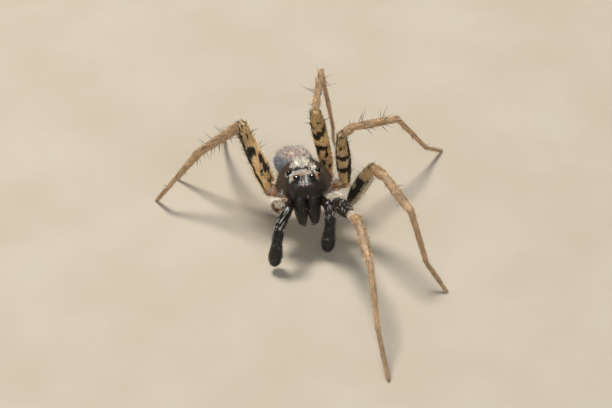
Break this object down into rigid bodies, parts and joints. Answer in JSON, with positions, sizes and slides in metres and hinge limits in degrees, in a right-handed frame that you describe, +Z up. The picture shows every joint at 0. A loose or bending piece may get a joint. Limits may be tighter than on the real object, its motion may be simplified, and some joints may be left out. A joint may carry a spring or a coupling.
{
  "type": "wolf spider model",
  "caption": "Life-size still model of a male wolf spider with raised knees, dark hanging palps, banded thighs and a healed stump in place of a front leg.",
  "frame": {"origin": "middle of the footprint's bounding box, on the floor", "axes": "+Z up, the animal faces -Y, its left side is +X"},
  "size_m": [0.0158, 0.021, 0.0071],
  "materials": {
    "dark_shell": "matte, finely hairy shell",
    "black_shell": "satin black shell",
    "grey_coat": "soft short hair",
    "eye": "wet gloss",
    "fang": "polished",
    "amber": "thinly haired amber shell",
    "banded_tan": "tan shell with dark bands and short hair",
    "plain_tan": "thinly haired light brown shell"
  },
  "bodies": {
    "root": {"carapace": "dark_shell", "sternum": "dark_shell", "labium": "black_shell", "pedicel": "black_shell", "abdomen": "grey_coat", "spinnerets": "grey_coat", "eye_median_front_left": "eye", "eye_median_front_right": "eye", "eye_lateral_front_left": "eye", "eye_lateral_front_right": "eye", "eye_median_rear_left": "eye", "eye_median_rear_right": "eye", "eye_lateral_rear_left": "eye", "eye_lateral_rear_right": "eye", "jaw_left": "black_shell", "fang_left": "fang", "endite_left": "amber", "jaw_right": "black_shell", "fang_right": "fang", "endite_right": "amber", "leg_left_1_coxa": "amber", "leg_left_1_femur": "banded_tan", "leg_left_1_tibia": "plain_tan", "leg_left_1_foot": "plain_tan", "leg_left_2_coxa": "amber", "leg_left_2_femur": "banded_tan", "leg_left_2_tibia": "plain_tan", "leg_left_2_foot": "plain_tan", "leg_left_3_coxa": "amber", "leg_left_3_femur": "banded_tan", "leg_left_3_tibia": "plain_tan", "leg_left_3_foot": "plain_tan", "leg_left_4_coxa": "amber", "leg_left_4_femur": "banded_tan", "leg_left_4_tibia": "plain_tan", "leg_left_4_foot": "plain_tan", "leg_right_2_coxa": "amber", "leg_right_2_femur": "banded_tan", "leg_right_2_tibia": "plain_tan", "leg_right_2_foot": "plain_tan", "leg_right_3_coxa": "amber", "leg_right_3_femur": "banded_tan", "leg_right_3_tibia": "plain_tan", "leg_right_3_foot": "plain_tan", "leg_right_4_coxa": "amber", "leg_right_4_femur": "banded_tan", "leg_right_4_tibia": "plain_tan", "leg_right_4_foot": "plain_tan", "leg_right_1_stump": "amber", "palp_left_femur": "black_shell", "palp_left_tibia": "black_shell", "palp_left_bulb": "black_shell", "palp_right_femur": "black_shell", "palp_right_tibia": "black_shell", "palp_right_bulb": "black_shell"}
  },
  "joints": []
}
